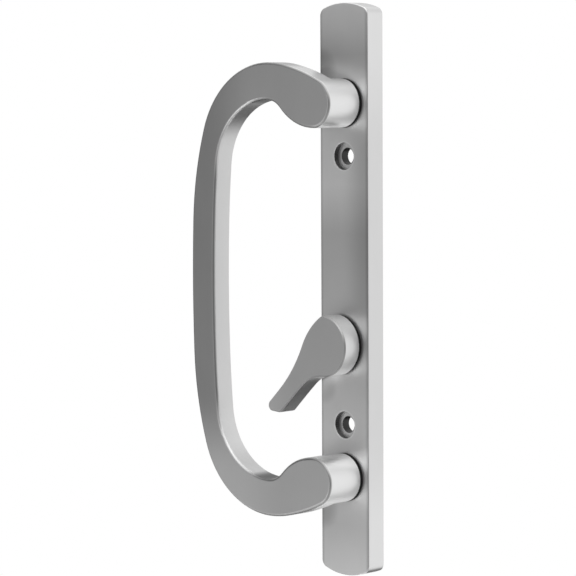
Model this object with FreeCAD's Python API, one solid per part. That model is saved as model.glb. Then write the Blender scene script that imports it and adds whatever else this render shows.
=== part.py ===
import FreeCAD, Part
import math
import os

from FreeCAD import Vector

# Inside handle of a sliding patio door: a long escutcheon plate, a D-shaped pull on two
# round posts, and a thumb lever that turns the lock behind the plate.
# Frame: +Z up, -Y towards the room, +X to the right for someone facing the handle.
# The origin is midway between the two mounting holes, on the plate's door side (Y = 0).
# All sizes are in millimetres and degrees.

# Mounting holes, counterbored for the screw heads
mount_spacing = 100.0
mount_bore = 6.0
counterbore_dia = 10.2
counterbore_depth = 2.2
mount_boss_wall = 2.1
mount_boss_setback = 2.7

# Escutcheon plate, cast hollow from the door side
plate_width = 24.0
plate_depth = 8.2
plate_face = 2.6
plate_wall = 2.2
plate_end_margin = 36.9
plate_end_rise = 2.7
plate_corner_round = 3.0
plate_edge_chamfer = 0.25
cavity_corner_round = 1.2
rib_thickness = 1.6
rib_setback = 2.6

# D-shaped pull
post_offset = 19.6
post_dia = 18.0
pull_rise = 17.0
grip_reach = 64.4
grip_width = 12.1
grip_depth = 9.2
grip_bow = 0.5
bend_drop = 44.0
crown_side = 23.7
crown_rise = 15.2
corner_side = 23.8
corner_rise = 1.3
shoulder_angle = 25.0
outer_bend_run = 17.8
inner_bend_run = 10.6
shoulder_run = 4.5
throat_run = 4.2
pull_face_round = 1.0
pull_back_chamfer = 1.2

# Black spacers and the screws that hold the pull from the door side
spacer_thickness = 1.2
spacer_inset = 0.1
screw_dia = 5.0
screw_grip = 10.0
screw_tip_room = 1.5
screw_head_dia = 9.0
screw_head_height = 2.8
screw_head_chamfer = 0.8
screw_head_setback = 1.2
screw_recess_width = 1.1
screw_recess_length = 4.8
screw_recess_depth = 1.4
lock_washer_dia = 9.0
lock_washer_thickness = 1.2
lock_washer_gap = 0.8
screw_seat_dia = 13.0
screw_hole_room = 0.4
thread_room = 0.05

# Thumb lever
lever_drop = 20.1
lever_side = 2.8
lever_rest_angle = 44.3
lever_head_dia = 22.8
lever_tail_length = 37.6
lever_tail_width = 6.8
lever_tail_start = 28.9
lever_tip_slant = 49.0
lever_tip_round = 2.0
lever_neck_angle = 44.8
lever_neck_run = 6.1
lever_crest_angle = 140.0
lever_crest_radius = 4.5
lever_crest_turn = 40.0
lever_flank_run = 7.5
lever_thickness = 7.6
lever_edge_chamfer = 0.5
shaft_dia = 9.0
shaft_end_setback = 1.2
drive_slot_length = 5.6
drive_slot_width = 2.2
drive_slot_depth = 7.0

# Bush, disc spring and snap ring that carry and keep the lever
bush_wall = 1.2
bush_flange_thickness = 1.2
bush_flange_inset = 0.3
bush_flange_margin = 0.6
bush_boss_wall = 2.0
running_fit = 0.05
running_gap = 0.05
ring_groove_depth = 0.6
ring_thickness = 0.8
ring_dia = 12.4
ring_inner_room = 0.35
ring_land = 0.9
ring_mouth_angle = 70.0
ring_lug_width = 2.0
ring_room = 0.5
disc_spring_dia = 12.2
disc_spring_bore_room = 0.2
disc_spring_thickness = 0.4
disc_spring_height = 0.9

# Places that follow from the sizes above
mount_z = mount_spacing / 2
post_z = mount_z + post_offset
plate_end_z = post_z + plate_end_margin
face_y = -plate_depth
cavity_y = face_y + plate_face
post_foot_y = face_y - spacer_thickness
pull_face_y = face_y - pull_rise
pull_back_y = pull_face_y + grip_depth
post_radius = post_dia / 2
lever_foot_y = face_y - bush_flange_thickness - running_gap
lever_face_y = lever_foot_y - lever_thickness
shaft_end_y = -shaft_end_setback
groove_back_y = shaft_end_y - ring_land
ring_back_y = groove_back_y - running_gap
ring_front_y = ring_back_y - ring_thickness
groove_front_y = ring_front_y - running_gap
spring_back_y = ring_front_y - running_gap
spring_front_y = spring_back_y - disc_spring_height
hub_boss_y = spring_front_y - running_gap
shaft_radius = shaft_dia / 2
groove_radius = shaft_radius - ring_groove_depth
bush_bore_radius = shaft_radius + running_fit
bush_radius = bush_bore_radius + bush_wall
hub_bore_radius = bush_radius + running_fit
bush_flange_radius = lever_head_dia / 2 - bush_flange_inset
screw_seat_y = -(screw_head_setback + screw_head_height + lock_washer_thickness)
lever_hub = Vector(-lever_side, 0, -lever_drop)
toward_door = Vector(0, 1, 0)

# How far a cut runs past the surface that it leaves, and how close counts as the same plane
beyond = 1.0
same_plane = 0.0001

os.makedirs("parts", exist_ok=True)


def at(x, y, z):
    return Vector(x, y, z)


def cylinder(radius, y_from, y_to, x=0.0, z=0.0):
    return Part.makeCylinder(radius, y_to - y_from, at(x, y_from, z), toward_door)


def tube(outer, inner, y_from, y_to, x=0.0, z=0.0):
    hole = cylinder(inner, y_from - beyond, y_to + beyond, x, z)
    return cylinder(outer, y_from, y_to, x, z).cut(hole)


def block(x_from, x_to, y_from, y_to, z_from, z_to):
    corner = at(x_from, y_from, z_from)
    return Part.makeBox(x_to - x_from, y_to - y_from, z_to - z_from, corner)


def line(start, end):
    return Part.LineSegment(start, end).toShape()


def arc(start, middle, end):
    return Part.Arc(start, middle, end).toShape()


# Arc that touches the two equal lines from a corner to its start and its end
def corner_arc(start, corner, end):
    chord = end - start
    middle = (start + end) / 2
    turn = (corner - start).getAngle(end - corner)
    outward = corner - middle
    outward.normalize()
    return arc(start, middle + outward * (chord.Length / 2 * math.tan(turn / 4)), end)


# Two smooth arcs from one point and heading to another; run sets where they meet
def bend(start, heading, end, end_heading, run):
    span = end - start
    spare = span.dot(span) / 2 - run * span.dot(heading)
    end_run = spare / (span.dot(end_heading) + run * (1 - heading.dot(end_heading)))
    first = start + heading * run
    second = end - end_heading * end_run
    meet = first + (second - first) * (run / (run + end_run))
    return [corner_arc(start, first, meet), corner_arc(meet, second, end)]


def edges_on(shape, y):
    found = []
    for edge in shape.Edges:
        box = edge.BoundBox
        if abs(box.YMin - y) < same_plane and abs(box.YMax - y) < same_plane:
            found.append(edge)
    return found


# Edges that run through from one face of a slab to the other
def through_edges(shape):
    depth = shape.BoundBox.YLength
    return [edge for edge in shape.Edges if edge.BoundBox.YLength > depth - same_plane]


def save(name, shapes):
    Part.makeCompound(shapes).exportStep("parts/" + name + ".step")


def save_one(name, shape):
    solid = shape.removeSplitter()
    solid.Solids[0].exportStep("parts/" + name + ".step")


# Plate outline: straight sides and shallow crowned ends
def plate_blank(inset, y_from, y_to, corner_round):
    half_width = plate_width / 2 - inset
    end_z = plate_end_z - inset
    side_z = end_z - plate_end_rise
    top_right = at(half_width, y_from, side_z)
    top_left = at(-half_width, y_from, side_z)
    low_left = at(-half_width, y_from, -side_z)
    low_right = at(half_width, y_from, -side_z)
    outline = Part.Wire([
        arc(top_right, at(0, y_from, end_z), top_left),
        line(top_left, low_left),
        arc(low_left, at(0, y_from, -end_z), low_right),
        line(low_right, top_right),
    ])
    blank = Part.Face(outline).extrude(at(0, y_to - y_from, 0))
    return blank.makeFillet(corner_round, through_edges(blank))


# Places of the cross ribs: between the features that they stiffen
def rib_heights():
    inner = (mount_z - lever_drop) / 2
    middle = (mount_z + post_z) / 2
    outer = post_z + plate_end_margin / 2
    return [inner, middle, outer, -middle, -outer, -(lever_drop + mount_z) / 2]


def build_plate():
    shell = plate_blank(0, face_y, 0, plate_corner_round)
    shell = shell.makeChamfer(plate_edge_chamfer, edges_on(shell, face_y))
    envelope = shell.copy()
    shell = shell.cut(plate_blank(plate_wall, cavity_y, beyond, cavity_corner_round))

    inside = []
    half_width = plate_width / 2
    for z in rib_heights():
        low = z - rib_thickness / 2
        high = z + rib_thickness / 2
        inside.append(block(-half_width, half_width, face_y, -rib_setback, low, high))
    for side in (1, -1):
        boss = counterbore_dia / 2 + mount_boss_wall
        inside.append(cylinder(boss, face_y, -mount_boss_setback, 0, side * mount_z))
        inside.append(cylinder(screw_seat_dia / 2, face_y, screw_seat_y, 0, side * post_z))
    boss_radius = hub_bore_radius + bush_boss_wall
    inside.append(cylinder(boss_radius, face_y, hub_boss_y, lever_hub.x, lever_hub.z))
    for piece in inside:
        shell = shell.fuse(piece.common(envelope))

    seat_y = face_y + counterbore_depth
    for side in (1, -1):
        z = side * mount_z
        shell = shell.cut(cylinder(counterbore_dia / 2, face_y - beyond, seat_y, 0, z))
        shell = shell.cut(cylinder(mount_bore / 2, face_y, beyond, 0, z))
        passage = (screw_dia + screw_hole_room) / 2
        shell = shell.cut(cylinder(passage, face_y - beyond, beyond, 0, side * post_z))
    shell = shell.cut(cylinder(hub_bore_radius, face_y - beyond, beyond, lever_hub.x, lever_hub.z))
    widest = max(ring_dia, disc_spring_dia) / 2
    ring_space = cylinder(widest + ring_room, hub_boss_y, beyond, lever_hub.x, lever_hub.z)
    return shell.cut(ring_space)


# One edge of the pull from its grip up to the crown of the upper bend, or down to the lower
def pull_side(side, reach, crown, run):
    start_z = post_z - bend_drop
    bow_radius = (start_z ** 2 + grip_bow ** 2) / (2 * grip_bow)
    lean = math.asin(start_z / bow_radius)
    start = at(-reach + grip_bow, pull_face_y, side * start_z)
    heading = at(math.sin(lean), 0, side * math.cos(lean))
    return start, bend(start, heading, crown, at(1, 0, 0), run)


def build_pull():
    right = at(1, 0, 0)
    shoulder = math.radians(shoulder_angle)
    outer_starts = []
    inner_starts = []
    outer_edges = []
    inner_edges = []
    for side in (1, -1):
        crown = at(-crown_side, pull_face_y, side * (post_z + crown_rise))
        corner = at(-corner_side, pull_face_y, side * (post_z + corner_rise))
        centre = at(0, pull_face_y, side * post_z)
        rim = at(post_radius * math.sin(shoulder), 0, side * post_radius * math.cos(shoulder))
        rim_heading = at(math.cos(shoulder), 0, -side * math.sin(shoulder))
        throat = centre - at(0, 0, side * post_radius)

        start, bends = pull_side(side, grip_reach, crown, outer_bend_run)
        outer_starts.append(start)
        outer_edges += bends
        outer_edges += bend(crown, right, centre + rim, rim_heading, shoulder_run)
        outer_edges.append(line(centre + rim, centre))

        start, bends = pull_side(side, grip_reach - grip_width, corner, inner_bend_run)
        inner_starts.append(start)
        inner_edges += bends
        inner_edges += bend(corner, right, throat, right, throat_run)
        inner_edges.append(line(throat, centre))

    outer_edges.append(arc(outer_starts[0], at(-grip_reach, pull_face_y, 0), outer_starts[1]))
    inner_middle = at(grip_width - grip_reach, pull_face_y, 0)
    inner_edges.append(arc(inner_starts[0], inner_middle, inner_starts[1]))

    outline = Part.Wire(Part.__sortEdges__(outer_edges + inner_edges))
    bar = Part.Face(outline).extrude(at(0, grip_depth, 0))
    curved = [edge for edge in edges_on(bar, pull_back_y) if edge.Curve.TypeId != "Part::GeomLine"]
    bar = bar.makeChamfer(pull_back_chamfer, curved)

    for side in (1, -1):
        bar = bar.fuse(cylinder(post_radius, pull_face_y, post_foot_y, 0, side * post_z))
    bar = bar.removeSplitter()
    bar = bar.makeFillet(pull_face_round, edges_on(bar, pull_face_y))
    for side in (1, -1):
        hole_end = post_foot_y - screw_grip - screw_tip_room
        hole = cylinder(screw_dia / 2 + thread_room, hole_end, post_foot_y + beyond, 0, side * post_z)
        bar = bar.cut(hole)
    return bar


def build_spacer(side):
    outer = post_radius - spacer_inset
    inner = (screw_dia + screw_hole_room) / 2
    return tube(outer, inner, post_foot_y, face_y, 0, side * post_z)


# Round-headed screw with a crossed recess, its head towards the door
def build_pull_screw(side):
    z = side * post_z
    head_y = screw_seat_y + lock_washer_thickness
    top_y = head_y + screw_head_height
    head = cylinder(screw_head_dia / 2, head_y, top_y, 0, z)
    head = head.makeChamfer(screw_head_chamfer, edges_on(head, top_y))
    screw = head.fuse(cylinder(screw_dia / 2, post_foot_y - screw_grip, head_y, 0, z))
    long = screw_recess_length / 2
    short = screw_recess_width / 2
    floor_y = top_y - screw_recess_depth
    screw = screw.cut(block(-long, long, floor_y, top_y + beyond, z - short, z + short))
    return screw.cut(block(-short, short, floor_y, top_y + beyond, z - long, z + long))


def build_lock_washer(side):
    z = side * post_z
    bore = (screw_dia + screw_hole_room) / 2
    top_y = screw_seat_y + lock_washer_thickness
    ring = tube(lock_washer_dia / 2, bore, screw_seat_y, top_y, 0, z)
    half_gap = lock_washer_gap / 2
    split = block(0, lock_washer_dia, screw_seat_y - beyond, top_y + beyond, z - half_gap, z + half_gap)
    return ring.cut(split)


# Lever outline with its tail along -X: a round head with a tight crest above, a hollow flank on
# each side of the neck and a tail cut off on a slant
def lever_outline(y):
    head = lever_head_dia / 2
    half_tail = lever_tail_width / 2
    slant = half_tail / math.tan(math.radians(lever_tip_slant))
    neck = math.radians(lever_neck_angle)
    crest = math.radians(lever_crest_angle)
    crest_middle = math.radians(lever_crest_angle - lever_crest_turn / 2)
    crest_end = math.radians(lever_crest_angle - lever_crest_turn)
    away = at(-1, 0, 0)

    def outward(angle, radius):
        return at(-math.cos(angle) * radius, 0, math.sin(angle) * radius)

    def along(angle):
        return at(-math.sin(angle), 0, -math.cos(angle))

    level = at(0, y, 0)
    crest_start = level + outward(crest, head)
    crest_centre = level + outward(crest, head - lever_crest_radius)
    flank_start = crest_centre + outward(crest_end, lever_crest_radius)
    neck_end = level + outward(-neck, head)
    upper_tail = at(-lever_tail_start, y, half_tail)
    lower_tail = at(-lever_tail_start, y, -half_tail)
    upper_tip = at(-lever_tail_length - slant, y, half_tail)
    lower_tip = at(slant - lever_tail_length, y, -half_tail)
    neck_heading = at(-math.sin(neck), 0, math.cos(neck))

    edges = [arc(neck_end, level + outward(math.pi, head), crest_start)]
    edges.append(arc(crest_start, crest_centre + outward(crest_middle, lever_crest_radius), flank_start))
    edges += bend(flank_start, along(crest_end), upper_tail, away, lever_flank_run)
    edges.append(line(upper_tail, upper_tip))
    edges.append(line(upper_tip, lower_tip))
    edges.append(line(lower_tip, lower_tail))
    edges += reversed(bend(neck_end, neck_heading, lower_tail, away, lever_neck_run))
    return Part.Wire(edges)


def place_on_hub(shape):
    placed = shape.copy()
    placed.rotate(at(0, 0, 0), toward_door, -lever_rest_angle)
    placed.translate(lever_hub)
    return placed


def build_lever():
    body = Part.Face(lever_outline(lever_foot_y)).extrude(at(0, -lever_thickness, 0))
    corners = [edge for edge in through_edges(body) if edge.BoundBox.XMax < -lever_tail_start - same_plane]
    body = body.makeFillet(lever_tip_round, corners)
    body = body.makeChamfer(lever_edge_chamfer, edges_on(body, lever_face_y))
    body = body.fuse(cylinder(shaft_radius, lever_foot_y, shaft_end_y))
    body = body.cut(tube(shaft_radius + beyond, groove_radius, groove_front_y, groove_back_y))
    half_long = drive_slot_length / 2
    half_wide = drive_slot_width / 2
    slot_y = shaft_end_y - drive_slot_depth
    slot = block(-half_long, half_long, slot_y, shaft_end_y + beyond, -half_wide, half_wide)
    return place_on_hub(body.cut(slot))


# Bush with a flange that ends flat beside the plate's left edge
def build_bush():
    x = lever_hub.x
    z = lever_hub.z
    flange_y = face_y - bush_flange_thickness
    flat_x = bush_flange_margin - plate_width / 2
    low = z - bush_flange_radius
    high = z + bush_flange_radius
    bush = cylinder(bush_flange_radius, flange_y, face_y, x, z)
    bush = bush.common(block(flat_x, plate_width / 2, flange_y, face_y, low, high))
    bush = bush.fuse(cylinder(bush_radius, face_y, hub_boss_y, x, z))
    return bush.cut(cylinder(bush_bore_radius, flange_y - beyond, hub_boss_y + beyond, x, z))


# Dished spring washer, a slanted strip turned round the shaft with flat rims
def build_disc_spring():
    inner = shaft_radius + disc_spring_bore_room
    outer = disc_spring_dia / 2
    lift = disc_spring_height - disc_spring_thickness
    strip = Part.makePolygon([
        at(outer, spring_front_y, 0),
        at(outer, spring_front_y + disc_spring_thickness, 0),
        at(inner, spring_back_y, 0),
        at(inner, spring_front_y + lift, 0),
        at(outer, spring_front_y, 0),
    ])
    spring = Part.Face(strip).revolve(at(0, 0, 0), toward_door, 360)
    spring.translate(lever_hub)
    return spring


# Snap ring: an open ring with three lugs that reach into the shaft's groove
def build_ring():
    outer = ring_dia / 2
    inner = shaft_radius + ring_inner_room
    seat = groove_radius + running_fit
    ring = tube(outer, inner, ring_front_y, ring_back_y)
    lugs = []
    half_lug = ring_lug_width / 2
    for turn in (-90, 0, 90):
        lug = block(0, inner + half_lug, ring_front_y, ring_back_y, -half_lug, half_lug)
        lug.rotate(at(0, 0, 0), toward_door, turn)
        lugs.append(lug.cut(cylinder(seat, ring_front_y - beyond, ring_back_y + beyond)))
    half_mouth = math.radians(ring_mouth_angle / 2)
    reach = ring_dia
    mouth_y = ring_front_y - beyond
    wedge = Part.makePolygon([
        at(0, mouth_y, 0),
        at(-reach, mouth_y, reach * math.tan(half_mouth)),
        at(-reach, mouth_y, -reach * math.tan(half_mouth)),
        at(0, mouth_y, 0),
    ])
    mouth = Part.Face(wedge).extrude(at(0, ring_thickness + 2 * beyond, 0))
    ring = ring.cut(mouth)
    for lug in lugs:
        ring = ring.fuse(lug)
    return place_on_hub(ring)


save_one("escutcheon_plate", build_plate())
save_one("pull_handle", build_pull())
save_one("pull_spacer_upper", build_spacer(1))
save_one("pull_spacer_lower", build_spacer(-1))
save("pull_screws", [build_pull_screw(1), build_pull_screw(-1)])
save("pull_lock_washers", [build_lock_washer(1), build_lock_washer(-1)])
save_one("thumb_lever", build_lever())
save_one("lever_bushing", build_bush())
save_one("lever_disc_spring", build_disc_spring())
save_one("lever_retaining_ring", build_ring())
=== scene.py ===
import math

import bmesh
import bpy
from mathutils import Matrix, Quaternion, Vector


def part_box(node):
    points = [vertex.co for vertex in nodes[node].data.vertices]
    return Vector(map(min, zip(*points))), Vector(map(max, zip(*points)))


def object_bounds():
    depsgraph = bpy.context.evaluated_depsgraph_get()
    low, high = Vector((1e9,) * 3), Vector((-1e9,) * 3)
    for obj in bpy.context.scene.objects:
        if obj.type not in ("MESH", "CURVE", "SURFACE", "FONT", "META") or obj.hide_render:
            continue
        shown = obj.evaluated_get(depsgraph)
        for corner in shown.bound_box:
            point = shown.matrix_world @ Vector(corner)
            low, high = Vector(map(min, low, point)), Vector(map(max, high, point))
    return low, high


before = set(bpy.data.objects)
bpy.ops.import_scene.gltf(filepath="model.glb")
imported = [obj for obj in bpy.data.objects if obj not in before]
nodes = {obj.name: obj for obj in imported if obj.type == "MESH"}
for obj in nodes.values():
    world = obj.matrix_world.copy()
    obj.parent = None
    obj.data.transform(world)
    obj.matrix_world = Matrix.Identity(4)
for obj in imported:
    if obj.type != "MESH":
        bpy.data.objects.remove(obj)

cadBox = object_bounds()
scene = bpy.context.scene
print("frame loaded:", len(nodes), "pieces")


# one socket of a shader tree; sums and products of sockets add their own Math nodes
class Tone:
    def __init__(self, tree, socket):
        self.tree = tree
        self.socket = socket

    def make(self, kind, settings=None, sockets=None, out=0):
        node = self.tree.nodes.new(kind)
        for name, value in (settings or {}).items():
            if name == "stops":
                elements = node.color_ramp.elements
                while len(elements) < len(value):
                    elements.new(1.0)
                for element, (place, level) in zip(elements, value):
                    element.position = place
                    element.color = (level, level, level, 1.0)
            else:
                setattr(node, name, value)
        for name, value in (sockets or {}).items():
            if isinstance(value, Tone):
                self.tree.links.new(value.socket, node.inputs[name])
            else:
                node.inputs[name].default_value = value
        return Tone(self.tree, node.outputs[out])

    def combine(self, operation, first, second):
        return self.make("ShaderNodeMath", {"operation": operation}, {0: first, 1: second})

    def __add__(self, other):
        return self.combine("ADD", self, other)

    def __radd__(self, other):
        return self.combine("ADD", other, self)

    def __sub__(self, other):
        return self.combine("SUBTRACT", self, other)

    def __rsub__(self, other):
        return self.combine("SUBTRACT", other, self)

    def __mul__(self, other):
        return self.combine("MULTIPLY", self, other)

    def __rmul__(self, other):
        return self.combine("MULTIPLY", other, self)

    def __lt__(self, other):
        return self.combine("LESS_THAN", self, other)

    def __gt__(self, other):
        return self.combine("GREATER_THAN", self, other)

    def __abs__(self):
        return self.make("ShaderNodeMath", {"operation": "ABSOLUTE"}, {0: self})


def newMaterial(name):
    material = bpy.data.materials.new(name)
    material.use_nodes = True
    tree = material.node_tree
    shader = tree.nodes["Principled BSDF"]
    place = tree.nodes.new("ShaderNodeTexCoord").outputs["Object"]
    return material, shader, Tone(tree, place)


def plug(shader, name, value):
    shader.id_data.links.new(value.socket, shader.inputs[name])


black = (0.0, 0.0, 0.0)
white = (1.0, 1.0, 1.0)
mixSockets = {"factor": 0, "first": 6, "second": 7, "result": 2}    # of a Mix node that mixes colours


def colourMix(factor, dark, light):
    ends = {mixSockets["first"]: (*dark, 1.0), mixSockets["second"]: (*light, 1.0)}
    return factor.make(
        "ShaderNodeMix", {"data_type": "RGBA"},
        {mixSockets["factor"]: factor, **ends}, out=mixSockets["result"])


def noise(place, spec):
    return place.make("ShaderNodeTexNoise", {}, {"Vector": place, **spec})


def bump(height, spec):
    return height.make(
        "ShaderNodeBump", {},
        {"Strength": spec["bumpStrength"], "Distance": spec["bumpDepth"], "Height": height})


def along(place, axis):
    return place.make("ShaderNodeSeparateXYZ", {}, {"Vector": place}, out=axis)


# distance from a point; keep is 1 for the directions that count and 0 for the others
def awayFrom(place, point, keep):
    offset = place.make("ShaderNodeVectorMath", {"operation": "SUBTRACT"}, {0: place, 1: point})
    offset = place.make("ShaderNodeVectorMath", {"operation": "MULTIPLY"}, {0: offset, 1: keep})
    return place.make("ShaderNodeVectorMath", {"operation": "LENGTH"}, {0: offset}, out="Value")


# a soft step: 0 at the first end of the span and 1 at the second, both counted from origin
def step(value, span, origin=0.0):
    start, end = span
    return value.make(
        "ShaderNodeMapRange", {"interpolation_type": "SMOOTHSTEP"},
        {"Value": value, "From Min": origin + start, "From Max": origin + end})


# a soft round spot: 1 in its middle and 0 from its radius on
def spot(width, height, middle, radius):
    aside = width - middle[0]
    rise = height - middle[1]
    return step(aside * aside + rise * rise, (radius ** 2, 0.0))


# the first tone where the mask is 0, the second where it is 1
def between(mask, first, second):
    return first + mask * (second - first)


def toned(mask, tone):
    return between(mask, 1.0, tone)


# satin nickel plating: bead-blasted grain, a faint brush and soft cloudy gloss; scales are per metre
satinNickel = {
    "clouds": {"Scale": 55.0, "Detail": 3.0, "Roughness": 0.55},
    "grain": {"Scale": 4200.0, "Detail": 2.0, "Roughness": 0.60},
    "brush": {"Scale": 1.0, "Detail": 3.0, "Roughness": 0.60},    # over each piece's own brushScale
    "shade": 0.92,             # of the darker patches against the lighter ones
    "tintClouds": 0.7,         # share of the clouds, the brush has the rest
    "glossClouds": 0.6,
    "bumpGrain": 0.6,          # share of the grain, the brush has the rest
    "roughness": 0.40,
    "roughnessSpread": 0.05,
    "bumpStrength": 0.10,
    "bumpDepth": 0.00003,
}
noiseMiddle = 0.5              # the level that a noise varies round


# the last argument gives a tone round 1, painted light and shade, that makes the plating lighter or
# darker from place to place
def nickelMaterial(name, finish, paintedShading):
    spec = satinNickel
    material, shader, place = newMaterial(name)
    clouds = noise(place, spec["clouds"])
    grain = noise(place, spec["grain"])
    stretched = place.make("ShaderNodeMapping", {}, {"Vector": place, "Scale": finish["brushScale"]})
    brush = noise(stretched, spec["brush"])
    tint = between(between(spec["tintClouds"], brush, clouds), spec["shade"], 1.0)
    tint = tint * finish["level"] * paintedShading(place)
    plug(shader, "Base Color", colourMix(tint, black, white))
    gloss = between(spec["glossClouds"], brush, clouds) - noiseMiddle
    plug(shader, "Roughness", gloss * spec["roughnessSpread"] + spec["roughness"])
    plug(shader, "Normal", bump(between(spec["bumpGrain"], brush, grain), spec))
    shader.inputs["Metallic"].default_value = 1.0
    return material


# the flat face's rounded or cut edge, from just behind the face
edgeStart = (0.00001, 0.00005)


def edgeMask(depth, front, spec):
    return step(depth, edgeStart, front) * step(depth, spec["edgeEnd"], front)


# painted shade on the pull: darker on its face, most on the grip, and along the front edge, in the inner
# corners, on the lower bend's sides and on top of the upper arm; each span, here and below, runs from
# where a tone begins to where it is full
pullFinishAndShading = {
    "level": 0.8216,
    "brushScale": (2600.0, 2600.0, 70.0),
    "faceSpan": (0.0008, 0.0),           # behind the front
    "upperSpan": (-0.072, -0.040),       # up the pull, from the lower arm's face to the grip's
    "faceTone": 0.81,
    "gripSpan": (-0.030, -0.056),
    "gripTone": 0.80,                    # of the grip's sides
    "gripFaceTone": 0.90,                    # of its face, over faceTone
    "armSpan": (-0.045, -0.015),         # along the lower arm's face
    "armTone": 0.84,
    "bendSpan": (-0.058, -0.068),        # down the lower bend's sides
    "bendSide": (-0.016, -0.028),
    "bendTone": 0.74,
    "edgeEnd": (0.0010, 0.0004),
    "edgeTone": 0.55,
    "brightSpan": (0.040, 0.050),        # from the middle, up and down, where the edge keeps no painted shade
    "brightSide": (-0.028, -0.036),
    "cornerPlace": (-0.0262, 0.0700),    # the upper one, the lower one mirrors it
    "cornerRadius": 0.0070,
    "cornerTone": 0.22,
    "crownSpan": (0.070, 0.077),         # the upper arm's top
    "crownSide": (-0.009, -0.016),
    "crownTone": 0.68,
}


def paintedShadingPull(place):
    spec = pullFinishAndShading
    width = along(place, "X")
    depth = along(place, "Y")
    height = along(place, "Z")
    reach = abs(height)
    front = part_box("pull_handle")[0].y
    onFace = step(depth, spec["faceSpan"], front)
    offFace = 1.0 - onFace
    upper = step(height, spec["upperSpan"])
    grip = step(width, spec["gripSpan"])
    lowerFace = toned(step(width, spec["armSpan"]), spec["armTone"])
    upperFace = toned(grip, spec["gripFaceTone"]) * spec["faceTone"]
    face = toned(onFace, between(upper, lowerFace, upperFace))
    side = toned(grip * upper, spec["gripTone"])
    bend = step(height, spec["bendSpan"]) * step(width, spec["bendSide"]) * offFace
    bright = step(reach, spec["brightSpan"]) * step(width, spec["brightSide"])
    edge = edgeMask(depth, front, spec) * (1.0 - bright)
    corner = spot(width, reach, spec["cornerPlace"], spec["cornerRadius"]) * offFace
    crown = step(height, spec["crownSpan"]) * step(width, spec["crownSide"]) * offFace
    # all of the pull's painted shade, multiplied together
    paintedShading = face * side * toned(bend, spec["bendTone"]) * toned(edge, spec["edgeTone"])
    return paintedShading * toned(corner, spec["cornerTone"]) * toned(crown, spec["crownTone"])


# painted light and shade on the lever: darker on its face and along the cut edge, and lighter towards
# its tail
leverFinishAndShading = {
    "level": 0.75,
    "brushScale": (1300.0, 1300.0, 1300.0),
    "faceSpan": (0.0002, 0.0),           # behind the front
    "faceTone": 0.88,
    "tailSpan": (-0.016, -0.030),
    "tailTone": 1.12,
    "edgeEnd": (0.0007, 0.0005),
    "edgeTone": 0.60,
}


def paintedShadingLever(place):
    spec = leverFinishAndShading
    depth = along(place, "Y")
    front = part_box("thumb_lever")[0].y
    face = toned(step(depth, spec["faceSpan"], front), spec["faceTone"])
    tail = toned(step(along(place, "X"), spec["tailSpan"]), spec["tailTone"])
    return face * tail * toned(edgeMask(depth, front, spec), spec["edgeTone"])


# painted light and shade on the plate: painted shade inside the mounting holes and painted shadow in the
# gap round each post and the lever, rings of painted shade beside them, painted shade along its edges,
# and soft bands of painted light and shade along its face
plateFinishAndShading = {
    "level": 0.76,
    "brushScale": (2600.0, 2600.0, 70.0),
    "faceDepth": 0.0003,                 # behind the front
    "bands": (                           # share of the plate's height, from below, and tone of the painted light and shade in bands
        (0.00, 1.30), (0.09, 1.07), (0.18, 1.08), (0.24, 1.22), (0.33, 1.05), (0.50, 0.99),
        (0.60, 0.95), (0.685, 1.27), (0.77, 1.24), (0.91, 0.89), (0.955, 1.12), (1.00, 1.28)),
    # painted shade along the face's side edges
    "edgeWidth": 0.0017,
    "edgeTone": 0.66,
    "shadeSide": (-0.002, 0.0115),       # across the face
    "shadeRise": (-0.050, 0.015),        # from below, up to here
    "shadeFall": (0.080, 0.050),         # from above, down to here
    "shadeTone": 0.70,
    # painted shadow in the gap round each post and the lever, and a ring of painted shade beside it
    "gapWidth": 0.0004,
    "gapTone": 0.10,
    "ringShadeWidth": 0.0090,
    "ringShadeTones": {"pull_spacer_upper": 0.93, "pull_spacer_lower": 0.93, "lever_bushing": 0.95},
    "armPlace": (-0.012, 0.082),         # painted shadow beside the upper arm of the pull, the lower one mirrors it
    "armRadius": 0.0095,
    "armTone": 0.72,
    "thumbPlace": (-0.011, -0.036),      # painted shadow under the lever's tail
    "thumbRadius": 0.008,
    "thumbTone": 0.74,
    "sideSpan": (0.090, 0.050),          # from the middle, up and down
    "sideTone": 0.91,
    "holeSpacing": 0.100,
    "holeBlur": 0.0001,
    # painted shade on the bore and wall of each mounting hole, painted light on the ledge between them
    # and a painted highlight round the rim
    "boreRadius": 0.0031,
    "boreTone": 0.07,
    "ledgeTone": 1.20,
    "wallRadius": 0.0050,
    "wallTone": 0.09,
    "rimRadius": 0.0053,
    "rimWidth": 0.0005,
    "rimTone": 1.15,
}
bandScale = 2.0                          # brings the bands' tones under 1, the most that a stop takes


# painted shadow in the gap close round a piece that stands on the plate, and a ring of painted shade
# beside it
def ringTone(place, nodeName, ringShadeTone):
    spec = plateFinishAndShading
    low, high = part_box(nodeName)
    middle = (low + high) / 2
    radius = (high.x - low.x) / 2
    away = awayFrom(place, (middle.x, 0.0, middle.z), (1.0, 0.0, 1.0))
    gap = step(away, (spec["gapWidth"], 0.0), radius)
    ringShade = step(away, (spec["ringShadeWidth"], 0.0), radius)
    return toned(gap, spec["gapTone"]) * toned(ringShade, ringShadeTone)


def bandTone(height, low, high):
    share = height.make("ShaderNodeMapRange", {}, {"Value": height, "From Min": low, "From Max": high})
    stops = tuple((at, tone / bandScale) for at, tone in plateFinishAndShading["bands"])
    return height.make("ShaderNodeValToRGB", {"stops": stops}, {"Fac": share}) * bandScale


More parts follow.
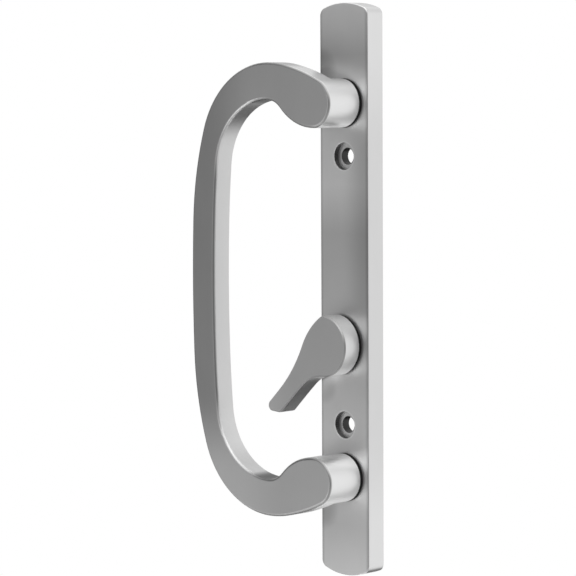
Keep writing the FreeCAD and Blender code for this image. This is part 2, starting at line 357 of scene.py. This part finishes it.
def paintedShadingPlate(place):
    spec = plateFinishAndShading
    low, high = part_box("escutcheon_plate")
    width = along(place, "X")
    height = along(place, "Z")
    reach = abs(height)
    onFace = along(place, "Y") < low.y + spec["faceDepth"]
    edge = step(abs(width), (-spec["edgeWidth"], 0.0), high.x)
    face = bandTone(height, low.z, high.z) * toned(edge, spec["edgeTone"])
    shade = step(height, spec["shadeRise"]) * step(height, spec["shadeFall"])
    face = face * toned(shade * step(width, spec["shadeSide"]), spec["shadeTone"])
    for nodeName, ringShadeTone in spec["ringShadeTones"].items():
        face = face * ringTone(place, nodeName, ringShadeTone)
    face = face * toned(spot(width, reach, spec["armPlace"], spec["armRadius"]), spec["armTone"])
    face = face * toned(spot(width, height, spec["thumbPlace"], spec["thumbRadius"]), spec["thumbTone"])
    rise = reach - spec["holeSpacing"] / 2
    away = place.make("ShaderNodeMath", {"operation": "SQRT"}, {0: width * width + rise * rise})
    rim = step(away, (spec["rimWidth"], 0.0), spec["rimRadius"])
    face = face * toned(rim, spec["rimTone"])
    pastBore = step(away, (0.0, spec["holeBlur"]), spec["boreRadius"])
    pastLedge = step(away, (0.0, spec["holeBlur"]), spec["wallRadius"])
    hole = between(pastLedge, between(pastBore, spec["boreTone"], spec["ledgeTone"]), spec["wallTone"])
    inHole = (away < spec["rimRadius"]) * (1.0 - onFace)
    side = toned(step(reach, spec["sideSpan"]), spec["sideTone"])
    return between(onFace, side, face) * toned(inHole, hole)


# moulded spacers and bush, with a fine matt grain
blackPlastic = {
    "darkTone": (0.004, 0.004, 0.004),
    "lightTone": (0.009, 0.009, 0.010),
    "grain": {"Scale": 2600.0, "Detail": 3.0, "Roughness": 0.60},
    "roughness": 0.62,
    "roughnessSpread": 0.12,
    "specular": 0.2,
    "bumpStrength": 0.3,
    "bumpDepth": 0.00004,
}


def plasticMaterial(name):
    spec = blackPlastic
    material, shader, place = newMaterial(name)
    grain = noise(place, spec["grain"])
    plug(shader, "Base Color", colourMix(grain, spec["darkTone"], spec["lightTone"]))
    plug(shader, "Roughness", grain * spec["roughnessSpread"] + spec["roughness"])
    plug(shader, "Normal", bump(grain, spec))
    shader.inputs["Specular IOR Level"].default_value = spec["specular"]
    return material


# small steel pieces: crystal spangle under fine turning marks, in two finishes
zincFinish = {"darkTone": (0.50, 0.51, 0.54), "lightTone": (0.66, 0.67, 0.70), "roughness": 0.30}
springFinish = {"darkTone": (0.16, 0.17, 0.19), "lightTone": (0.30, 0.31, 0.33), "roughness": 0.36}
steelMarks = {
    "spangleScale": 900.0,
    "turned": {"Scale": 5200.0, "Detail": 2.0},
    "tintSpangle": 0.6,        # share of the spangle, the turning marks have the rest
    "roughnessSpread": 0.14,
    "bumpStrength": 0.15,
    "bumpDepth": 0.00003,
}


def steelMaterial(name, finish):
    spec = steelMarks
    material, shader, place = newMaterial(name)
    spangle = place.make(
        "ShaderNodeTexVoronoi", {"feature": "F1"},
        {"Vector": place, "Scale": spec["spangleScale"]}, out="Distance")
    turned = noise(place, spec["turned"])
    tint = between(spec["tintSpangle"], turned, spangle)
    plug(shader, "Base Color", colourMix(tint, finish["darkTone"], finish["lightTone"]))
    plug(shader, "Roughness", turned * spec["roughnessSpread"] + finish["roughness"])
    plug(shader, "Normal", bump(turned, spec))
    shader.inputs["Metallic"].default_value = 1.0
    return material


def dress(nodeName, material):
    mesh = nodes[nodeName].data
    mesh.materials.clear()
    mesh.materials.append(material)


plastic = plasticMaterial("mouldedBlackPlastic")
spring = steelMaterial("springSteel", springFinish)
dress("escutcheon_plate", nickelMaterial("satinNickelPlate", plateFinishAndShading, paintedShadingPlate))
dress("pull_handle", nickelMaterial("satinNickelPull", pullFinishAndShading, paintedShadingPull))
dress("thumb_lever", nickelMaterial("satinNickelLever", leverFinishAndShading, paintedShadingLever))
dress("pull_screws", steelMaterial("zincPlatedSteel", zincFinish))
for nodeName in ("pull_spacer_upper", "pull_spacer_lower", "lever_bushing"):
    dress(nodeName, plastic)
for nodeName in ("pull_lock_washers", "lever_disc_spring", "lever_retaining_ring"):
    dress(nodeName, spring)
print("materials dressed")


# pale floor disc, well below the handle, that fades out towards its rim
floorSpec = {
    "drop": 0.40,
    "radius": 0.28,
    "solidTo": 0.10,
    "segments": 96,
    "darkTone": (0.84, 0.84, 0.84),
    "lightTone": (0.88, 0.88, 0.88),
    "mottle": {"Scale": 40.0},
    "roughness": 0.9,
}


def floorMaterial():
    spec = floorSpec
    material, shader, place = newMaterial("paleFloor")
    away = awayFrom(place, (0.0, 0.0, 0.0), (1.0, 1.0, 0.0))
    plug(shader, "Alpha", step(away, (spec["radius"], spec["solidTo"])))
    mottle = noise(place, spec["mottle"])
    plug(shader, "Base Color", colourMix(mottle, spec["darkTone"], spec["lightTone"]))
    shader.inputs["Roughness"].default_value = spec["roughness"]
    return material


def layFloor():
    mesh = bpy.data.meshes.new("floor")
    shape = bmesh.new()
    bmesh.ops.create_circle(
        shape, cap_ends=True, segments=floorSpec["segments"], radius=floorSpec["radius"])
    height = cadBox[0].z - floorSpec["drop"]
    bmesh.ops.translate(shape, verts=shape.verts, vec=(0.0, 0.0, height))
    shape.to_mesh(mesh)
    shape.free()
    mesh.materials.append(floorMaterial())
    floor = bpy.data.objects.new("floor", mesh)
    scene.collection.objects.link(floor)


layFloor()
print("floor laid")


# light tent: white all round, with two bright panels and some dark cards that take light away; each is
# placed by azimuth and elevation in degrees (azimuth 0 is the front, 90 the right) and fades out at its
# rim, which is the cosine of its half angle
panels = {
    "overhead": {"azimuth": 10, "elevation": 75, "rim": 0.30, "level": 0.62},
    "lowFront": {"azimuth": 320, "elevation": -39, "rim": 0.82, "level": 1.3},
}
cards = {
    "front": {"azimuth": 4, "elevation": 0, "rim": 0.84, "level": 0.45},
    "frontLeft": {"azimuth": 297, "elevation": 0, "rim": 0.53, "level": 0.79},
    "underBack": {"azimuth": 203, "elevation": -53, "rim": 0.76, "level": 1.0},
    "highFront": {"azimuth": 310, "elevation": 45, "rim": 0.70, "level": 0.45},
    "highRight": {"azimuth": 166, "elevation": 45, "rim": 0.80, "level": 0.25},
    "lowLeft": {"azimuth": 262, "elevation": -45, "rim": 0.72, "level": 0.65},
    "behind": {"azimuth": 222, "elevation": 2, "rim": 0.80, "level": 0.60},
    "nearCamera": {"azimuth": 42, "elevation": -2, "rim": 0.78, "level": 0.70},
    "underFront": {"azimuth": 20, "elevation": -62, "rim": 0.78, "level": 0.60},
}
backdrop = {"azimuth": 225, "elevation": 0, "rim": 0.60, "level": 0.15}
tentLevel = 1.0
paperLevel = 1.0
lobeFull = 0.98                          # cosine inside which a panel or card has its full level


def direction(azimuth, elevation):
    turn = math.radians(azimuth)
    lift = math.radians(elevation)
    return Vector((
        math.sin(turn) * math.cos(lift),
        -math.cos(turn) * math.cos(lift),
        math.sin(lift)))


def lobeTone(facing, spec):
    near = facing.make(
        "ShaderNodeVectorMath", {"operation": "DOT_PRODUCT"},
        {0: facing, 1: direction(spec["azimuth"], spec["elevation"])}, out="Value")
    return step(near, (spec["rim"], lobeFull)) * spec["level"]


# the camera sees white paper, and metal sees it too where it stands behind the handle
def lightRoom():
    world = bpy.data.worlds.new("lightTent")
    world.use_nodes = True
    scene.world = world
    tree = world.node_tree
    tree.nodes.clear()
    facing = Tone(tree, tree.nodes.new("ShaderNodeTexCoord").outputs["Generated"])
    level = tentLevel
    for spec in panels.values():
        level = level + lobeTone(facing, spec)
    for spec in cards.values():
        level = level * (1.0 - lobeTone(facing, spec))
    tent = facing.make("ShaderNodeBackground", {}, {"Color": (*white, 1.0), "Strength": level})
    paper = facing.make("ShaderNodeBackground", {}, {"Color": (*white, 1.0), "Strength": paperLevel})
    camera = facing.make("ShaderNodeLightPath", out="Is Camera Ray")
    glossy = facing.make("ShaderNodeLightPath", out="Is Glossy Ray")
    through = facing.make("ShaderNodeLightPath", out="Is Transmission Ray")
    seen = camera + (glossy + through) * lobeTone(facing, backdrop)
    both = facing.make("ShaderNodeMixShader", {}, {0: seen, 1: tent, 2: paper})
    result = tree.nodes.new("ShaderNodeOutputWorld")
    tree.links.new(both.socket, result.inputs["Surface"])


lightRoom()
scene.view_settings.view_transform = "Standard"
print("studio lit")


# where the photograph was taken from, in degrees and metres, with the lens and sensor in millimetres
viewpoint = {
    "aim": (-0.01892, -0.01873, 0.00083),
    "azimuth": 44.71,
    "elevation": 4.43,
    "roll": -0.30,
    "distance": 0.95785,
    "lens": 160.4,
    "sensor": 36.0,
    "clipStart": 0.05,
}


def aimCamera():
    back = direction(viewpoint["azimuth"], viewpoint["elevation"])
    data = bpy.data.cameras.new("camera")
    data.lens = viewpoint["lens"]
    data.sensor_width = viewpoint["sensor"]
    data.clip_start = viewpoint["clipStart"]
    camera = bpy.data.objects.new("camera", data)
    camera.location = Vector(viewpoint["aim"]) + back * viewpoint["distance"]
    camera.rotation_mode = "QUATERNION"
    roll = Quaternion((0.0, 0.0, 1.0), math.radians(viewpoint["roll"]))
    camera.rotation_quaternion = (-back).to_track_quat("-Z", "Y") @ roll
    scene.collection.objects.link(camera)
    scene.camera = camera


aimCamera()
print("camera aimed")
